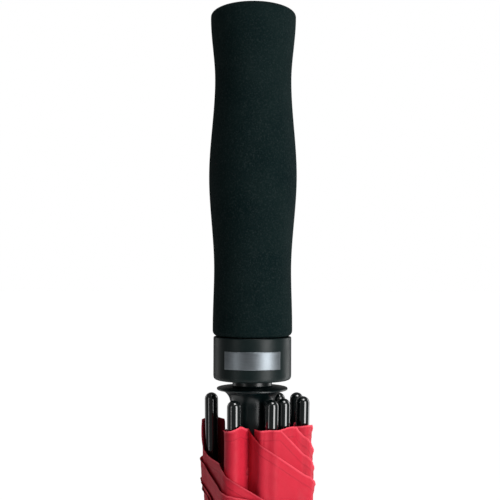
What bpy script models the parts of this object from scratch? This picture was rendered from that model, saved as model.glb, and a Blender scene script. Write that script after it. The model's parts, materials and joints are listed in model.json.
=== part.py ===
"""Automatic stick golf umbrella, closed, with the handle up.

Metres, +Z up. The shaft axis is Z and the ferrule's end face is z = 0.
Eight ribs hinge in the crown near the bottom. Their tips stand round the
runner, just under the handle. Each rib is two halves with a hinge between
them, which stands for the bend of the fibreglass. Each stretcher hinges on
its rib and meets the runner's ring when closed and when open.
"""

import math

import bmesh
import bpy
from mathutils import Matrix, Vector

MM = 0.001
GAP = 0.3 * MM
RIBS = 8
X_AXIS = Vector((1.0, 0.0, 0.0))
Y_AXIS = Vector((0.0, 1.0, 0.0))
Z_AXIS = Vector((0.0, 0.0, 1.0))

# Heights along the shaft
FERRULE_TOP_Z = 55.7 * MM
PIVOT_Z = 88.0 * MM
RING_Z = 771.5 * MM
HEM_Z = 810.0 * MM
TIP_TOP_Z = 823.4 * MM
FLANGE_Z = 827.0 * MM
COLLAR_LOW_Z = 831.7 * MM
COLLAR_TOP_Z = 851.3 * MM
GRIP_LOW_Z = 851.6 * MM
GRIP_TOP_Z = 1007.0 * MM

# Shaft and ferrule
SHAFT_R = 7.0 * MM
SHAFT_BORE_R = 5.6 * MM
SHAFT_TOP_Z = 985.0 * MM
BORE_R = SHAFT_R + GAP
FERRULE_PLUG = 18.0 * MM
FERRULE_END_R = 4.0 * MM
FERRULE_R = 5.0 * MM
FERRULE_FLANGE_R = 8.2 * MM

# Crown
CROWN_R = 13.5 * MM
CROWN_ABOVE = 7.0 * MM
CROWN_BELOW = 9.5 * MM
SLOT_WIDTH = 3.8 * MM
SLOT_FLOOR_R = 8.7 * MM
PIVOT_R = 11.0 * MM

# Runner
RING_R = 11.0 * MM
RING_GROOVE_R = 8.9 * MM
RING_LIP_R = 9.2 * MM
NECK_R = 9.25 * MM
NECK_TOP_Z = 844.6 * MM
GROOVE_R = 8.3 * MM
RUNNER_R = 10.25 * MM
FLANGE_R = 16.6 * MM
FLARE_HEIGHT = 6.4 * MM

# Ribs
FIRST_RIB_DEG = 219.6
RIB_R = 1.7 * MM
RIB_END_R = 1.5 * MM
TIP_R = 3.2 * MM
TIP_LENGTH = 45.0 * MM
TIP_BORE_R = 2.0 * MM
JOINT_SHARE = 330.0 / 732.2
JOINT_GAP = 0.6 * MM
EYE_WIDTH = 2.8 * MM
# Where each rib's tip stands at rest, as x and y from the shaft axis in mm: the
# wrapped cloth pulls the tips off their even spacing.
TIPS_XY = (
    (-8.2, -16.0),
    (8.9, -13.0),
    (14.4, -8.0),
    (23.7, 0.0),
    (21.5, 14.0),
    (12.7, 14.0),
    (-3.0, 19.0),
    (-19.6, 13.0),
)

# Stretchers
STRETCHER_R = 1.4 * MM
STRETCHER_EYE_R = 1.1 * MM
LUG_IN = 3.5 * MM
LUG_BELOW = 6.0 * MM
LUG_SIDE = 1.0 * MM
LUG_WIDTH = 1.4 * MM
STRETCHER_SIDE = 1.35 * MM

# Closed canopy and its strap
CANOPY_LOW_Z = 80.0 * MM
CANOPY_LOW_R = 15.8 * MM
CANOPY_TOP_R = 28.4 * MM
CANOPY_WALL = 1.2 * MM
CANOPY_LEAN = Vector((1.8 * MM, 3.0 * MM, 0.0))
SEAM_HALF_DEG = 0.9
STRAP_Z = 690.0 * MM
STRAP_HEIGHT = 20.0 * MM
STRAP_WALL = 1.4 * MM
STRAP_TURN_DEG = 354.0
STRAP_START_DEG = 262.0

# Handle
COLLAR_R = 18.25 * MM
COLLAR_ROUND = 2.0 * MM
CORE_R = 13.5 * MM
CORE_TOP_Z = 1002.0 * MM
NECK_BORE_R = 9.9 * MM
NECK_BORE_TOP_Z = 846.0 * MM
LATCH_ROOM_R = 14.4 * MM
LATCH_LOW_Z = 838.0 * MM
LATCH_TOP_Z = 843.0 * MM
SHOULDER_R = 20.1 * MM
SHOULDER_DROP = 5.5 * MM
DOME_POWER = 2.4
PLUG_R = 6.4 * MM
PLUG_LOW_Z = 1002.3 * MM
# Narrowest and widest places of the grip below its shoulder: (height, radius).
GRIP_SHAPE = (
    (971.8 * MM, 18.0 * MM),
    (926.6 * MM, 20.65 * MM),
    (882.5 * MM, 18.1 * MM),
    (856.4 * MM, 18.65 * MM),
)
GRIP_FOOT_ROUND = 2.4 * MM

# Label, button and latch
LABEL_TURN_DEG = 88.0
LABEL_Z = 841.2 * MM
LABEL_HEIGHT = 8.3 * MM
LABEL_R = 18.4 * MM
LABEL_WALL = 0.6 * MM
BUTTON_Z = 840.6 * MM
BUTTON_R = 4.6 * MM
BUTTON_LOW_Y = 14.0 * MM
BUTTON_LENGTH = 6.6 * MM
POCKET_DEPTH = 10.8 * MM
LATCH_SHIFT = 1.05 * MM
LATCH_HOLE_R = 9.75 * MM
LATCH_R = 12.2 * MM

# Opening spring
SPRING_TURNS = 26
SPRING_R = 4.4 * MM
SPRING_WIRE_R = 0.6 * MM
SPRING_LOW_Z = 800.0 * MM
SPRING_TOP_Z = 975.0 * MM

BLACK = (0.015, 0.016, 0.017, 1.0)
FOAM = (0.020, 0.024, 0.024, 1.0)
DARK_GREY = (0.040, 0.042, 0.044, 1.0)
RED = (0.55, 0.03, 0.06, 1.0)
STEEL = (0.60, 0.60, 0.62, 1.0)
SILVER = (0.42, 0.45, 0.48, 1.0)


def clear_scene():
    for obj in list(bpy.data.objects):
        bpy.data.objects.remove(obj, do_unlink=True)


def new_collection(name):
    collection = bpy.data.collections.new(name)
    bpy.context.scene.collection.children.link(collection)
    return collection


def paint(obj, color, metallic, roughness):
    """Gives the object a material of its own."""
    material = bpy.data.materials.new(obj.name)
    material.use_nodes = True
    shader = material.node_tree.nodes["Principled BSDF"]
    shader.inputs["Base Color"].default_value = color
    shader.inputs["Metallic"].default_value = metallic
    shader.inputs["Roughness"].default_value = roughness
    material.diffuse_color = color
    obj.data.materials.append(material)


def polar(radius, degrees, z=0.0):
    angle = math.radians(degrees)
    return Vector((radius * math.cos(angle), radius * math.sin(angle), z))


def place(obj, origin, z_axis, side=X_AXIS):
    """Puts the object's origin there, its Z along z_axis and its X nearest the side."""
    z = z_axis.normalized()
    x = (side - side.dot(z) * z).normalized()
    y = z.cross(x)
    turn = Matrix((x, y, z)).transposed()
    obj.matrix_world = Matrix.Translation(origin) @ turn.to_4x4()
    return obj


def turned(name, profile, collection, steps=32, closed=False, turn_deg=360.0):
    """A profile of (radius, z) pairs turned about Z. It runs down its outer side."""
    verts = [(r, 0.0, z) for r, z in profile]
    edges = [(i, i + 1) for i in range(len(verts) - 1)]
    if closed:
        edges.append((len(verts) - 1, 0))
    mesh = bpy.data.meshes.new(name)
    mesh.from_pydata(verts, edges, [])
    obj = bpy.data.objects.new(name, mesh)
    collection.objects.link(obj)
    screw = obj.modifiers.new("Screw", "SCREW")
    screw.angle = math.radians(turn_deg)
    screw.steps = steps
    screw.render_steps = steps
    screw.use_merge_vertices = turn_deg == 360.0
    screw.merge_threshold = 1e-6
    screw.use_smooth_shade = True
    return obj


def thicken(obj, wall):
    """Makes an open surface a shell, with the wall on its inner side."""
    solidify = obj.modifiers.new("Solidify", "SOLIDIFY")
    solidify.thickness = wall
    solidify.offset = -1.0
    return obj


def cylinder(name, radius, length, collection, count=12):
    """A cylinder about its origin, along its own Z."""
    mesh = bpy.data.meshes.new(name)
    shape = bmesh.new()
    bmesh.ops.create_cone(
        shape,
        cap_ends=True,
        segments=count,
        radius1=radius,
        radius2=radius,
        depth=length,
    )
    shape.to_mesh(mesh)
    shape.free()
    obj = bpy.data.objects.new(name, mesh)
    collection.objects.link(obj)
    return obj


def box(name, size, collection):
    """A box about its origin."""
    mesh = bpy.data.meshes.new(name)
    shape = bmesh.new()
    bmesh.ops.create_cube(shape, size=1.0)
    bmesh.ops.scale(shape, vec=size, verts=shape.verts)
    shape.to_mesh(mesh)
    shape.free()
    obj = bpy.data.objects.new(name, mesh)
    collection.objects.link(obj)
    return obj


def combine(obj, helper, operation):
    """Cuts or joins the helper with a Boolean, and keeps it out of the model."""
    helper.hide_render = True
    helper.display_type = "WIRE"
    modifier = obj.modifiers.new(operation.title(), "BOOLEAN")
    modifier.operation = operation
    modifier.solver = "EXACT"
    modifier.object = helper


def smoothstep(share):
    return share * share * (3.0 - 2.0 * share)


def arc(centre, radius, first_deg, last_deg, count):
    """Points (radius, z) round a centre in the profile's plane."""
    points = []
    for i in range(count + 1):
        angle = math.radians(first_deg + (last_deg - first_deg) * i / count)
        r = centre[0] + radius * math.cos(angle)
        points.append((r, centre[1] + radius * math.sin(angle)))
    return points


def rib_angle(index):
    return FIRST_RIB_DEG + 360.0 / RIBS * index


def rib_points(index):
    """The rib's crown pivot, its flex joint and the centre of its tip's dome."""
    pivot = polar(PIVOT_R, rib_angle(index), PIVOT_Z)
    x, y = TIPS_XY[index]
    tip = Vector((x * MM, y * MM, TIP_TOP_Z - TIP_R))
    return pivot, pivot.lerp(tip, JOINT_SHARE), tip


def stretcher_points(index):
    """The stretcher's pivot on its rib, its end on the ring, and the way inward."""
    joint = rib_points(index)[1]
    inward = Vector((-joint.x, -joint.y, 0.0)).normalized()
    pivot = joint + LUG_IN * inward - LUG_BELOW * Z_AXIS
    return pivot, polar(RING_R, rib_angle(index), RING_Z), inward


def build_shaft(parts):
    profile = [
        (SHAFT_R, SHAFT_TOP_Z),
        (SHAFT_R, FERRULE_TOP_Z + GAP),
        (SHAFT_BORE_R, FERRULE_TOP_Z + GAP),
        (SHAFT_BORE_R, SHAFT_TOP_Z),
    ]
    shaft = turned("shaft_tube", profile, parts, closed=True)
    paint(shaft, BLACK, 0.6, 0.35)


def build_ferrule(parts):
    plug_r = SHAFT_BORE_R - GAP
    plug_top = FERRULE_TOP_Z + FERRULE_PLUG
    flange_low = FERRULE_TOP_Z - 2.4 * MM
    profile = [
        (0.0, plug_top),
        (plug_r - 0.5 * MM, plug_top),
        (plug_r, plug_top - 0.8 * MM),
        (plug_r, FERRULE_TOP_Z),
        (FERRULE_FLANGE_R, FERRULE_TOP_Z),
        (FERRULE_FLANGE_R, flange_low),
        (6.6 * MM, flange_low - 1.6 * MM),
        (6.0 * MM, 30.0 * MM),
        (FERRULE_R, 8.0 * MM),
    ]
    profile += arc((FERRULE_END_R, 1.0 * MM), 1.0 * MM, 0.0, -90.0, 3)
    profile.append((0.0, 0.0))
    ferrule = turned("ferrule", profile, parts, steps=28)
    paint(ferrule, BLACK, 0.0, 0.3)


def build_crown(parts, helpers):
    """The notch ring that the ribs hinge in."""
    low = PIVOT_Z - CROWN_BELOW
    top = PIVOT_Z + CROWN_ABOVE
    profile = [
        (CROWN_R, top),
        (CROWN_R, PIVOT_Z - 6.0 * MM),
        (CROWN_R - 3.0 * MM, low),
        (BORE_R, low),
        (BORE_R, top),
    ]
    crown = turned("crown", profile, parts, closed=True)
    slot_size = (8.0 * MM, SLOT_WIDTH, 14.0 * MM)
    for index in range(RIBS):
        slot = box(f"crown_slot_{index + 1}", slot_size, helpers)
        middle_r = SLOT_FLOOR_R + slot_size[0] / 2.0
        middle_z = PIVOT_Z - 3.0 * MM + slot_size[2] / 2.0
        outward = polar(1.0, rib_angle(index))
        place(slot, polar(middle_r, rib_angle(index), middle_z), Z_AXIS, outward)
        combine(crown, slot, "DIFFERENCE")
    paint(crown, BLACK, 0.0, 0.4)


def flare_profile():
    """The runner's trumpet, from its thin rim in to its body: a quarter ellipse."""
    points = []
    rim_r = FLANGE_R - 0.4 * MM
    rim_z = FLANGE_Z - 0.6 * MM
    steps = 5
    for i in range(steps + 1):
        angle = math.pi / 2.0 * i / steps
        r = RUNNER_R + (rim_r - RUNNER_R) * (1.0 - math.sin(angle))
        z = rim_z - FLARE_HEIGHT * (1.0 - math.cos(angle))
        points.append((r, z))
    return points


def build_runner(parts):
    profile = [
        (NECK_R - 0.5 * MM, NECK_TOP_Z),
        (NECK_R, NECK_TOP_Z - 0.6 * MM),
        (NECK_R, LATCH_TOP_Z),
        (GROOVE_R, LATCH_TOP_Z),
        (GROOVE_R, LATCH_LOW_Z),
        (NECK_R, LATCH_LOW_Z),
        (NECK_R, FLANGE_Z + 2.2 * MM),
        (NECK_R + 1.4 * MM, FLANGE_Z + 1.1 * MM),
        (FLANGE_R - 0.5 * MM, FLANGE_Z + 0.5 * MM),
        (FLANGE_R, FLANGE_Z),
    ]
    profile += flare_profile()
    profile += [
        (RUNNER_R, RING_Z + 8.0 * MM),
        (RING_GROOVE_R, RING_Z + 6.0 * MM),
        (RING_GROOVE_R, RING_Z - 4.0 * MM),
        (RING_LIP_R, RING_Z - 5.0 * MM),
        (RING_LIP_R, RING_Z - 8.0 * MM),
        (BORE_R, RING_Z - 8.0 * MM),
        (BORE_R, NECK_TOP_Z),
    ]
    runner = turned("runner", profile, parts, steps=40, closed=True)
    paint(runner, BLACK, 0.0, 0.35)


def build_inner_rib(index, parts, helpers):
    """From the crown to the flex joint, with an eye and the stretcher's lug."""
    pivot, joint, tip = rib_points(index)
    along = (tip - pivot).normalized()
    outward = polar(1.0, rib_angle(index))
    length = (joint - pivot).length - JOINT_GAP
    profile = [(0.0, length), (RIB_R, length), (RIB_R, 0.0), (0.0, 0.0)]
    rib = turned(f"rib_inner_{index + 1}", profile, parts, steps=10)
    place(rib, pivot, along, outward)
    eye = cylinder(f"rib_eye_{index + 1}", RIB_R + 0.1 * MM, EYE_WIDTH, helpers)
    place(eye, pivot, along.cross(outward), outward)
    combine(rib, eye, "UNION")
    lug_at, _, inward = stretcher_points(index)
    across = along.cross(inward).normalized()
    lug = cylinder(f"lug_{index + 1}", 1.5 * MM, LUG_WIDTH, helpers)
    place(lug, lug_at + LUG_SIDE * across, across, inward)
    combine(rib, lug, "UNION")
    web = box(f"lug_web_{index + 1}", (LUG_IN, LUG_WIDTH, 3.0 * MM), helpers)
    middle = lug_at - LUG_IN / 2.0 * inward + LUG_SIDE * across
    place(web, middle, along, inward)
    combine(rib, web, "UNION")
    paint(rib, BLACK, 0.0, 0.3)


def build_outer_rib(index, parts):
    """From the flex joint into the tip's bore."""
    _, joint, tip = rib_points(index)
    end = (tip - joint).length - 2.4 * MM
    profile = [
        (0.0, end),
        (RIB_END_R, end),
        (RIB_R, end - TIP_LENGTH),
        (RIB_R, JOINT_GAP),
        (0.0, JOINT_GAP),
    ]
    rib = turned(f"rib_outer_{index + 1}", profile, parts, steps=10)
    place(rib, joint, tip - joint, polar(1.0, rib_angle(index)))
    paint(rib, BLACK, 0.0, 0.3)


def build_tip(index, parts):
    """A domed cap on the rib's end, open below. Its origin is the dome's centre."""
    _, joint, tip = rib_points(index)
    low = TIP_R - TIP_LENGTH
    profile = arc((0.0, 0.0), TIP_R, 90.0, 0.0, 5)
    profile[0] = (0.0, TIP_R)
    profile += [
        (TIP_R, low + 0.8 * MM),
        (TIP_R - 0.6 * MM, low),
        (TIP_BORE_R, low),
        (TIP_BORE_R, -2.0 * MM),
        (0.0, -2.0 * MM),
    ]
    cap = turned(f"rib_tip_{index + 1}", profile, parts, steps=14)
    place(cap, tip, tip - joint, polar(1.0, rib_angle(index)))
    paint(cap, BLACK, 0.0, 0.15)


def build_stretcher(index, parts, helpers):
    """Beside the rib's lug at its lower end, on the runner's ring at its upper end."""
    pivot, ring, inward = stretcher_points(index)
    along = (ring - pivot).normalized()
    across = along.cross(inward).normalized()
    start = pivot - STRETCHER_SIDE * across
    length = (ring - start).length
    profile = [
        (0.0, length + 1.4 * MM),
        (1.0 * MM, length + 1.4 * MM),
        (STRETCHER_R, length),
        (STRETCHER_R, 4.0 * MM),
        (STRETCHER_EYE_R, 0.0),
        (0.7 * MM, -0.6 * MM),
        (0.0, -0.6 * MM),
    ]
    stretcher = turned(f"stretcher_{index + 1}", profile, parts, steps=10)
    place(stretcher, start, ring - start, inward)
    paint(stretcher, DARK_GREY, 0.9, 0.35)


def canopy_axis():
    return CANOPY_LEAN + Vector((0.0, 0.0, HEM_Z - CANOPY_LOW_Z))


def canopy_radius(z):
    """The outer radius of the closed canopy at a height."""
    share = (z - CANOPY_LOW_Z) / (HEM_Z - CANOPY_LOW_Z)
    return CANOPY_LOW_R + share * (CANOPY_TOP_R - CANOPY_LOW_R)


def build_canopy(parts):
    """The wrapped cloth as a leaning sleeve of wedges, one pair between two ribs."""
    joint_z = rib_points(0)[1].z
    halves = (
        ("canopy_panel", CANOPY_LOW_Z, joint_z - GAP),
        ("canopy_hem", joint_z + GAP, HEM_Z),
    )
    pitch = 360.0 / RIBS
    for index in range(RIBS):
        start = polar(1.0, rib_angle(index) + SEAM_HALF_DEG)
        for name, low, high in halves:
            profile = [(canopy_radius(z), z - CANOPY_LOW_Z) for z in (high, low)]
            panel = turned(
                f"{name}_{index + 1}",
                profile,
                parts,
                steps=6,
                turn_deg=pitch - 2.0 * SEAM_HALF_DEG,
            )
            thicken(panel, CANOPY_WALL)
            place(panel, CANOPY_LOW_Z * Z_AXIS, canopy_axis(), start)
            paint(panel, RED, 0.0, 0.8)


def build_strap(parts):
    """A band round the closed canopy, split where its ends meet."""
    top = STRAP_Z + STRAP_HEIGHT
    outer = canopy_radius(top) + GAP + STRAP_WALL
    profile = [(outer, STRAP_HEIGHT), (outer, 0.0)]
    strap = turned(
        "tie_strap", profile, parts, steps=36, turn_deg=STRAP_TURN_DEG
    )
    thicken(strap, STRAP_WALL)
    share = (STRAP_Z - CANOPY_LOW_Z) / (HEM_Z - CANOPY_LOW_Z)
    origin = share * CANOPY_LEAN + STRAP_Z * Z_AXIS
    place(strap, origin, canopy_axis(), polar(1.0, STRAP_START_DEG))
    paint(strap, RED, 0.0, 0.8)


def label_band(name, outer, wall, height, turn_deg, collection):
    """A curved plate on the front of the collar, facing -Y."""
    low = LABEL_Z - height / 2.0
    profile = [(outer, low + height), (outer, low)]
    band = turned(name, profile, collection, steps=16, turn_deg=turn_deg)
    thicken(band, wall)
    return place(band, Vector(), Z_AXIS, polar(1.0, 270.0 - turn_deg / 2.0))


def build_handle_core(parts, helpers):
    """The collar and, in one piece with it, the core that the foam is pushed on."""
    profile = [
        (0.0, CORE_TOP_Z),
        (6.0 * MM, CORE_TOP_Z),
        (CORE_R, CORE_TOP_Z - 7.0 * MM),
        (CORE_R, COLLAR_TOP_Z),
        (COLLAR_R - 0.6 * MM, COLLAR_TOP_Z),
        (COLLAR_R, COLLAR_TOP_Z - 0.6 * MM),
    ]
    round_centre = (COLLAR_R - COLLAR_ROUND, COLLAR_LOW_Z + COLLAR_ROUND)
    profile += arc(round_centre, COLLAR_ROUND, 0.0, -90.0, 4)
    profile += [
        (NECK_BORE_R, COLLAR_LOW_Z),
        (NECK_BORE_R, LATCH_LOW_Z),
        (LATCH_ROOM_R, LATCH_LOW_Z),
        (LATCH_ROOM_R, LATCH_TOP_Z),
        (NECK_BORE_R, LATCH_TOP_Z),
        (NECK_BORE_R, NECK_BORE_TOP_Z),
        (BORE_R, NECK_BORE_TOP_Z),
        (BORE_R, SHAFT_TOP_Z + GAP),
        (0.0, SHAFT_TOP_Z + GAP),
    ]
    core = turned("handle_core", profile, parts, steps=48)
    clearance = 2.0 * MM
    recess = label_band(
        "label_recess",
        LABEL_R + clearance,
        LABEL_WALL + GAP + clearance,
        LABEL_HEIGHT + 2.0 * GAP,
        LABEL_TURN_DEG + 2.0,
        helpers,
    )
    combine(core, recess, "DIFFERENCE")
    pocket_r = BUTTON_R + 0.5 * MM
    pocket = cylinder("button_pocket", pocket_r, POCKET_DEPTH, helpers, 28)
    middle_y = BUTTON_LOW_Y + (POCKET_DEPTH - BUTTON_LENGTH) / 2.0
    place(pocket, Vector((0.0, middle_y, BUTTON_Z)), Y_AXIS, Z_AXIS)
    combine(core, pocket, "DIFFERENCE")
    paint(core, BLACK, 0.0, 0.35)


def build_label(parts):
    label = label_band(
        "label_plate", LABEL_R, LABEL_WALL, LABEL_HEIGHT, LABEL_TURN_DEG, parts
    )
    paint(label, SILVER, 1.0, 0.35)


def build_button(parts):
    """At the back of the collar. It is pushed in along -Y."""
    profile = [
        (0.0, BUTTON_LENGTH),
        (BUTTON_R - 1.2 * MM, BUTTON_LENGTH),
        (BUTTON_R - 0.4 * MM, BUTTON_LENGTH - 0.3 * MM),
        (BUTTON_R, BUTTON_LENGTH - 1.0 * MM),
        (BUTTON_R, 0.3 * MM),
        (BUTTON_R - 0.3 * MM, 0.0),
        (0.0, 0.0),
    ]
    button = turned("push_button", profile, parts, steps=28)
    place(button, Vector((0.0, BUTTON_LOW_Y, BUTTON_Z)), Y_AXIS, Z_AXIS)
    paint(button, BLACK, 0.0, 0.3)


def build_latch(parts):
    """A flat ring round the runner's neck. Its front edge sits in the neck's groove."""
    low = LATCH_LOW_Z + 0.7 * MM
    high = LATCH_TOP_Z - 0.7 * MM
    profile = [
        (LATCH_R, high),
        (LATCH_R, low),
        (LATCH_HOLE_R, low),
        (LATCH_HOLE_R, high),
    ]
    latch = turned("latch", profile, parts, closed=True)
    latch.location = (0.0, LATCH_SHIFT, 0.0)
    paint(latch, STEEL, 1.0, 0.3)


def dome_profile(inner_r):
    """The top of the grip, a superellipse, from the plug's hole out to the shoulder."""
    points = []
    steps = 9
    for i in range(steps + 1):
        share = i / steps
        r = inner_r + (SHOULDER_R - inner_r) * math.sin(share * math.pi / 2.0)
        fall = (1.0 - (r / SHOULDER_R) ** DOME_POWER) ** (1.0 / DOME_POWER)
        points.append((r, GRIP_TOP_Z - SHOULDER_DROP * (1.0 - fall)))
    return points


def build_grip(parts):
    """The foam sleeve: a domed top, and a smooth wave between narrow and wide places."""
    profile = dome_profile(PLUG_R + GAP)
    last_z, last_r = profile[-1][1], profile[-1][0]
    steps = 6
    for z, r in GRIP_SHAPE:
        for i in range(1, steps + 1):
            share = i / steps
            wave = last_r + (r - last_r) * smoothstep(share)
            profile.append((wave, last_z + (z - last_z) * share))
        last_z, last_r = z, r
    foot_centre = (last_r - GRIP_FOOT_ROUND, GRIP_LOW_Z + GRIP_FOOT_ROUND)
    profile += arc(foot_centre, GRIP_FOOT_ROUND, 0.0, -90.0, 4)
    profile += [
        (CORE_R + GAP, GRIP_LOW_Z),
        (CORE_R + GAP, CORE_TOP_Z - 6.7 * MM),
        (PLUG_R + GAP, CORE_TOP_Z + GAP),
    ]
    grip = turned("grip_foam", profile, parts, steps=48, closed=True)
    paint(grip, FOAM, 0.0, 0.9)


def build_end_plug(parts):
    profile = [
        (0.0, GRIP_TOP_Z),
        (PLUG_R - 1.0 * MM, GRIP_TOP_Z),
        (PLUG_R - 0.3 * MM, GRIP_TOP_Z - 0.4 * MM),
        (PLUG_R, GRIP_TOP_Z - 1.2 * MM),
        (PLUG_R, PLUG_LOW_Z),
        (0.0, PLUG_LOW_Z),
    ]
    plug = turned("end_plug", profile, parts, steps=28)
    paint(plug, DARK_GREY, 0.0, 0.35)


def build_spring(parts):
    """The opening spring, squeezed inside the top of the shaft."""
    per_turn = 12
    total = SPRING_TURNS * per_turn
    curve = bpy.data.curves.new("drive_spring", "CURVE")
    curve.dimensions = "3D"
    curve.bevel_depth = SPRING_WIRE_R
    curve.bevel_resolution = 1
    curve.use_fill_caps = True
    spline = curve.splines.new("POLY")
    spline.points.add(total)
    rise = (SPRING_TOP_Z - SPRING_LOW_Z) / total
    for i in range(total + 1):
        point = polar(SPRING_R, 360.0 * i / per_turn, rise * i)
        spline.points[i].co = (point.x, point.y, point.z, 1.0)
    spring = bpy.data.objects.new("drive_spring", curve)
    spring.location = (0.0, 0.0, SPRING_LOW_Z)
    parts.objects.link(spring)
    paint(spring, STEEL, 1.0, 0.3)


def main():
    clear_scene()
    parts = new_collection("golf_umbrella")
    helpers = new_collection("cutters")
    helpers.hide_render = True
    build_shaft(parts)
    build_ferrule(parts)
    build_crown(parts, helpers)
    build_runner(parts)
    for index in range(RIBS):
        build_inner_rib(index, parts, helpers)
        build_outer_rib(index, parts)
        build_tip(index, parts)
        build_stretcher(index, parts, helpers)
    build_canopy(parts)
    build_strap(parts)
    build_handle_core(parts, helpers)
    build_label(parts)
    build_button(parts)
    build_latch(parts)
    build_grip(parts)
    build_end_plug(parts)
    build_spring(parts)


main()
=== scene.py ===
import json
import math

import bpy
import numpy as np
from mathutils import Matrix, Vector

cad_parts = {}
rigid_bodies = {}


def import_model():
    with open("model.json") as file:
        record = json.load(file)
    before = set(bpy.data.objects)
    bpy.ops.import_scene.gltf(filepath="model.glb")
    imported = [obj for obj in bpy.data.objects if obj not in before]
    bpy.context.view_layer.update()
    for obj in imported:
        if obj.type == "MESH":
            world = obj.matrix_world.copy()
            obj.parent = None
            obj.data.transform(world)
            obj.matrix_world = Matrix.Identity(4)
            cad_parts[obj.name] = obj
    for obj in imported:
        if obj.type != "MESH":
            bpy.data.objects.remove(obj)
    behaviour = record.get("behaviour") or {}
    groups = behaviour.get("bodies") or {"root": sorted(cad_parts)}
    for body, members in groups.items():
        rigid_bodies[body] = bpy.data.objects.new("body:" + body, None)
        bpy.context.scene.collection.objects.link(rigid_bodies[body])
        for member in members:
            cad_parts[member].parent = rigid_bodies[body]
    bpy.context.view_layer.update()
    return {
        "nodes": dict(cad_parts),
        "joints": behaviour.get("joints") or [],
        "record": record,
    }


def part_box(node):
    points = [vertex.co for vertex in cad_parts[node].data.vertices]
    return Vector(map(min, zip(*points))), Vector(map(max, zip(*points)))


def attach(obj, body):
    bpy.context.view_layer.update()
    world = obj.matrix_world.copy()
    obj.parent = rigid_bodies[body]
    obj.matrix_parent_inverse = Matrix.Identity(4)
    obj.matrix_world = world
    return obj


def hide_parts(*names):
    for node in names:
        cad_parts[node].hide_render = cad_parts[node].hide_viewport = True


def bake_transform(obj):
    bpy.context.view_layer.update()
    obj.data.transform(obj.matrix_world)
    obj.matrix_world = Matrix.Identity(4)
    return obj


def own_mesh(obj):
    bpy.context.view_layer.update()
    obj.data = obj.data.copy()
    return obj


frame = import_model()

MM = 0.001
RIBS = 8
TURN = 2.0 * math.pi
PITCH = TURN / RIBS

# Driving dimensions that the frame holds
JOINTS = {joint["name"]: joint for joint in frame["joints"]}
GRIP_LOW, GRIP_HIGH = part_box("grip_foam")
CORE_LOW, CORE_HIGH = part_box("handle_core")
LABEL_LOW, LABEL_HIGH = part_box("label_plate")
RUNNER_LOW, RUNNER_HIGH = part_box("runner")
SHAFT_LOW, SHAFT_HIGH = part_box("shaft_tube")
FERRULE_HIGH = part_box("ferrule")[1]
PLUG_LOW, PLUG_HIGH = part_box("end_plug")
BUTTON_LOW, BUTTON_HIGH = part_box("push_button")
BUTTON_Z = (BUTTON_LOW.z + BUTTON_HIGH.z) / 2.0
BACK = Vector((0.0, 1.0, 0.0))
STRAP_LOW, STRAP_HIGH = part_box("tie_strap")
HEM_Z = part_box("canopy_hem_1")[1].z
CANOPY_LOW_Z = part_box("canopy_panel_1")[0].z
PIVOT_Z = JOINTS["rib_1_pivot"]["pos_m"][2]

# Tips
TIP_R = 3.2 * MM
TIP_LENGTH = 45.0 * MM
TIP_TOP_Z = 823.4 * MM

# Camera
CAMERA_AT = Vector((-1.22 * MM, -444.0 * MM, 881.5 * MM))
CAMERA_RISE_DEG = 1.33
CAMERA_ROLL_DEG = -0.2
CAMERA_LENS_MM = 68.0

# Cloth: its colours, the painted highlight along the hem's edge, its threads in a metre, and
# where the hem's stitches run
RED, RED_SHADE = (0.47, 0.011, 0.030), (0.41, 0.009, 0.025)
HEM_HIGHLIGHT_COLOR = (0.68, 0.055, 0.085)
HEM_STITCH_COLOR = (0.16, 0.004, 0.010)
THREADS = 320.0
STITCH_AT = 4.6 * MM

# Softboxes: azimuth in degrees, distance, height, width, tall, watts. Azimuth 0 is the
# camera's side. Each faces the umbrella level, unless it has a height to aim at.
SOFTBOXES = {
    "key": (42.0, 1.3, 0.75, 0.6, 1.6, 18.0),
    "side": (62.0, 1.3, 0.75, 0.4, 1.6, 8.5),
    "top": (30.0, 0.5, 1.9, 0.55, 0.55, 6.0),
    "fill": (-48.0, 1.5, 0.75, 0.12, 1.6, 2.8),
    "rim_right": (125.0, 1.3, 0.75, 0.5, 1.5, 6.0),
    "rim_left": (-125.0, 1.4, 0.75, 0.5, 1.5, 2.2),
    "back": (180.0, 1.3, 0.75, 0.6, 1.6, 12.0),
}
AIMED = {"top": 0.82}
UNREFLECTED = ("side", "back")


# ---- mesh tools


def mesh_object(name, points, faces, finish, sharp_deg=40.0):
    """A smooth-shaded mesh whose edges above sharp_deg stay crisp."""
    mesh = bpy.data.meshes.new(name)
    mesh.from_pydata([tuple(p) for p in points], [], faces)
    mesh.validate()
    mesh.shade_smooth()
    mesh.set_sharp_from_angle(angle=math.radians(sharp_deg))
    mesh.materials.append(finish)
    obj = bpy.data.objects.new(name, mesh)
    bpy.context.scene.collection.objects.link(obj)
    return obj


def grid_faces(rows, cols):
    """Quads over a grid of points, stored row by row."""
    starts = [i * cols + j for i in range(rows - 1) for j in range(cols - 1)]
    return [(at, at + cols, at + cols + 1, at + 1) for at in starts]


def lay_cloth(obj, along, from_hem):
    """UVs in metres for the cloth's weave, from each point's two distances."""
    layer = obj.data.uv_layers.new(name="cloth_metres")
    corner = np.zeros(len(obj.data.loops), int)
    obj.data.loops.foreach_get("vertex_index", corner)
    uv = np.stack((along.ravel()[corner], from_hem.ravel()[corner]), axis=1)
    layer.data.foreach_set("uv", uv.astype(np.float32).ravel())


def arc(r, z, radius, start_deg, end_deg, count):
    """Points (r, z) of an arc round a centre."""
    angles = np.radians(np.linspace(start_deg, end_deg, count))
    return [(r + radius * math.cos(a), z + radius * math.sin(a)) for a in angles]


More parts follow.
